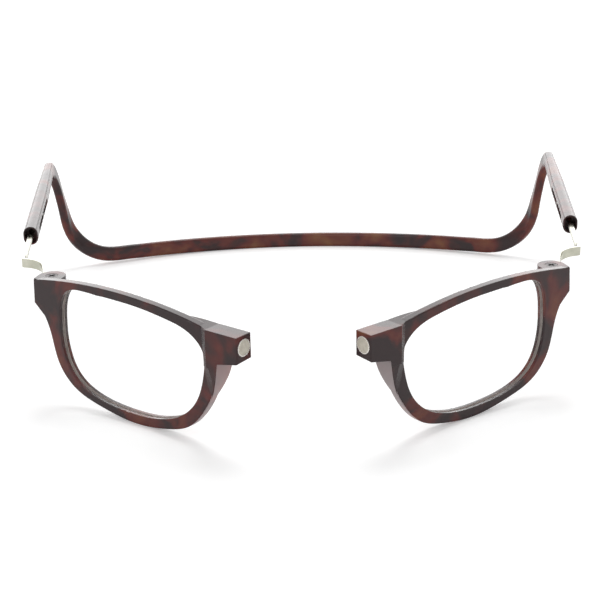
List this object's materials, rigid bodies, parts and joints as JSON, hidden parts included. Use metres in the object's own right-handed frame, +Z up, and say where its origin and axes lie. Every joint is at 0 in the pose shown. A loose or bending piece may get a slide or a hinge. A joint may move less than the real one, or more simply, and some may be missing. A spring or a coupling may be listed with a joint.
{
  "type": "magnetic bridge reading glasses",
  "caption": "Reading glasses that part at the nose bridge: magnets join two hinged front halves on metal arms that slide in a one-piece headband.",
  "frame": {"origin": "under the middle of the nape band, on the surface that the glasses lie on", "axes": "seen from the front, +X runs to the right and names with left_ are at -X, +Y towards the nape, so the wearer faces -Y, +Z up"},
  "size_m": [0.1796, 0.2132, 0.0411],
  "materials": {
    "shell_brown": "glossy dark brown mottled shell plastic",
    "lens_clear": "clear polished lens plastic",
    "cup_nickel": "bright nickel plate",
    "magnet_grey": "satin warm grey plated magnet",
    "screw_steel": "plain turned steel",
    "insert_brass": "plain turned brass",
    "arm_steel": "polished spring steel"
  },
  "bodies": {
    "band": {"headband": "shell_brown"},
    "left_arm": {"left_temple_arm": "arm_steel", "left_slide_stop": "arm_steel"},
    "left_half": {"left_frame": "shell_brown", "left_lens": "lens_clear", "left_magnet_cup": "cup_nickel", "left_magnet": "magnet_grey", "left_hinge_screw": "screw_steel", "left_hinge_insert": "insert_brass"},
    "right_arm": {"right_temple_arm": "arm_steel", "right_slide_stop": "arm_steel"},
    "right_half": {"right_frame": "shell_brown", "right_lens": "lens_clear", "right_magnet_cup": "cup_nickel", "right_magnet": "magnet_grey", "right_hinge_screw": "screw_steel", "right_hinge_insert": "insert_brass"}
  },
  "joints": [
    {"name": "left_arm_slide", "type": "slide", "parent": "band", "child": "left_arm", "axis": [-0.0906, 0.9941, 0.0593], "range_m": [-0.016, 0.016]},
    {"name": "left_half_hinge", "type": "hinge", "parent": "left_arm", "child": "left_half", "pos_m": [-0.0666, -0.16306, 0.03045], "axis": [0, -0.0595, 0.9982], "range_deg": [-12, 115]},
    {"name": "right_arm_slide", "type": "slide", "parent": "band", "child": "right_arm", "axis": [0.0906, 0.9941, 0.0593], "range_m": [-0.016, 0.016]},
    {"name": "right_half_hinge", "type": "hinge", "parent": "right_arm", "child": "right_half", "pos_m": [0.0666, -0.16306, 0.03045], "axis": [0, 0.0595, -0.9982], "range_deg": [-12, 115]}
  ]
}
